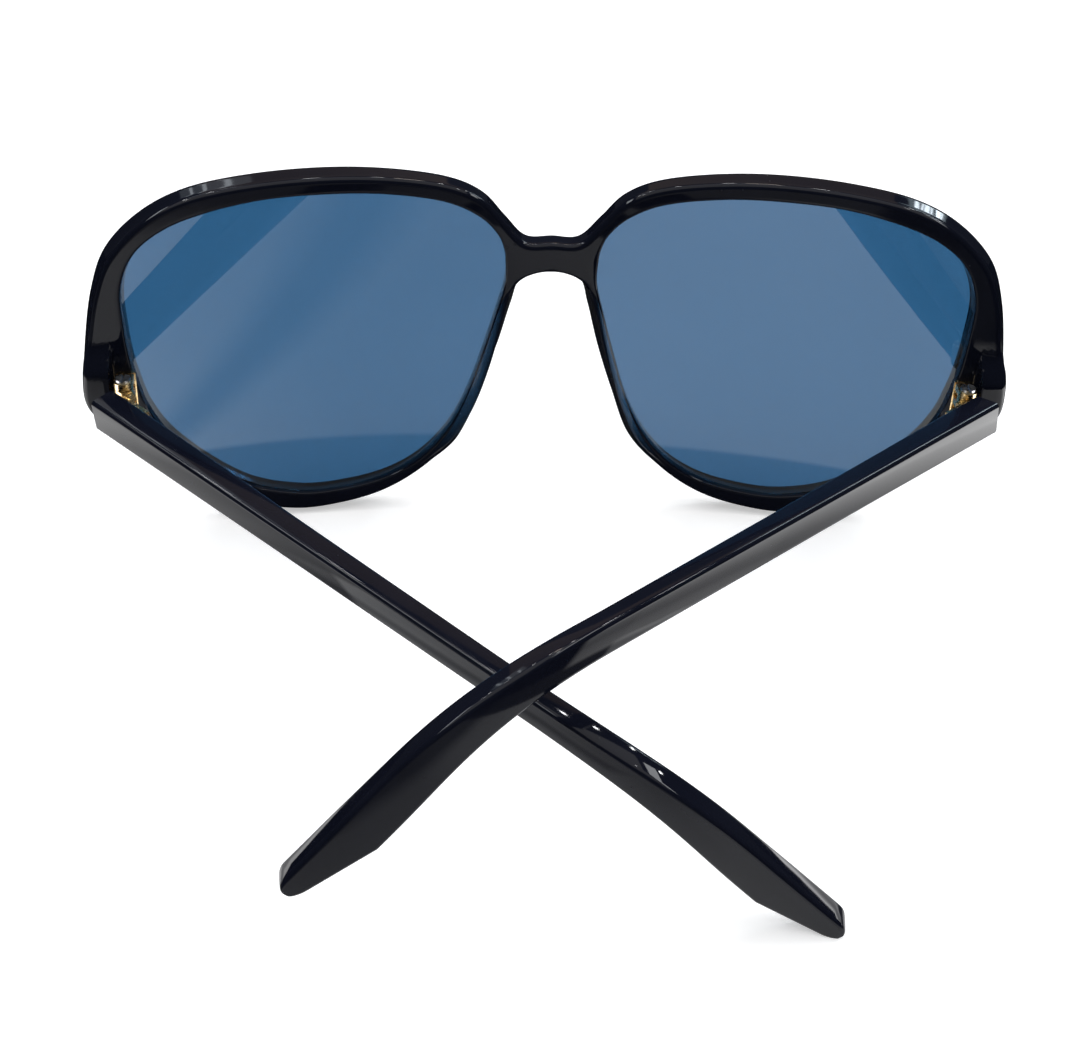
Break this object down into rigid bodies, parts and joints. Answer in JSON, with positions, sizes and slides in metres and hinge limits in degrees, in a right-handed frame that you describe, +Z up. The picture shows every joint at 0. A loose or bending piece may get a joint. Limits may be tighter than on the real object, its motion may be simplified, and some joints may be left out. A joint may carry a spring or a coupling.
{
  "type": "square sunglasses",
  "caption": "Large square plastic sunglasses lying on a table with both temples half folded and crossed; gold hinges, tinted lenses and built-up nose pads.",
  "frame": {"origin": "middle of the whole object's footprint, on the table that it lies on", "axes": "+X to the viewer's right along the front, +Y out of the front's outer face, +Z up from the table"},
  "size_m": [0.1476, 0.1044, 0.0609],
  "materials": {
    "front_black": "polished moulded plastic",
    "pad_black": "polished moulded plastic",
    "temple_black": "polished moulded plastic with fine handling marks",
    "lens_tint": "smooth blue-grey tint",
    "hinge_gold": "gold plated, satin",
    "steel": "fine turned"
  },
  "bodies": {
    "front": {"front_frame": "front_black", "lens_left": "lens_tint", "lens_right": "lens_tint", "nose_pad_left": "pad_black", "nose_pad_right": "pad_black", "front_hinge_leaf_left": "hinge_gold", "front_hinge_leaf_right": "hinge_gold", "hinge_screw_left": "steel", "hinge_screw_right": "steel"},
    "left_temple": {"temple_left": "temple_black", "temple_hinge_leaf_left": "hinge_gold", "temple_core_left": "steel"},
    "right_temple": {"temple_right": "temple_black", "temple_hinge_leaf_right": "hinge_gold", "temple_core_right": "steel"}
  },
  "joints": [
    {"name": "left_fold", "type": "hinge", "parent": "front", "child": "left_temple", "pos_m": [-0.067, 0.03586, 0.0275], "axis": [0, 0.0906, 0.9959], "range_deg": [-46.2, 34.59]},
    {"name": "right_fold", "type": "hinge", "parent": "front", "child": "right_temple", "pos_m": [0.067, 0.03586, 0.0275], "axis": [0, -0.0906, -0.9959], "range_deg": [-46.9, 35.1]}
  ],
  "couplings": [
    {"joint": "left_fold", "follows": "right_fold", "ratio": 0.98508}
  ]
}
